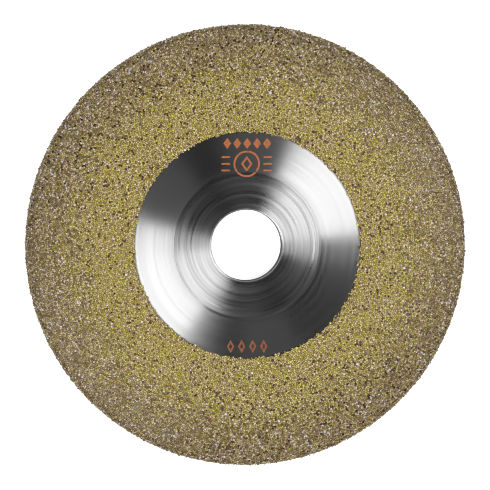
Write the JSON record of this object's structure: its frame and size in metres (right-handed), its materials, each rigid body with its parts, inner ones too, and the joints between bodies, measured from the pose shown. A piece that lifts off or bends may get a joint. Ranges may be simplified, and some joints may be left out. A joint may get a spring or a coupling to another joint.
{
  "type": "electroplated diamond grinding wheel",
  "caption": "Round dished steel grinding wheel with a plain spindle bore, a recessed turned hub and a coarse diamond-plated face, rim and back edge.",
  "frame": {"origin": "on the spin axis at the back seat of the hub, the lowest face of the wheel", "axes": "+Z along the spin axis, out of the abrasive face; +Y towards the row of lozenges; +X to the right of them seen from above"},
  "size_m": [0.1, 0.1, 0.0071],
  "materials": {
    "turned_steel": "satin",
    "nickel_plating": "matte",
    "diamond_grit": "satin",
    "printed_ink": "matte"
  },
  "bodies": {
    "root": {"steel_core": "turned_steel", "nickel_bond": "nickel_plating", "inner_face_grit": "diamond_grit", "middle_face_grit": "diamond_grit", "outer_face_grit": "diamond_grit", "rim_grit": "diamond_grit", "back_grit": "diamond_grit", "lozenge_row": "printed_ink", "ring_emblem": "printed_ink", "grade_marks": "printed_ink"}
  },
  "joints": []
}
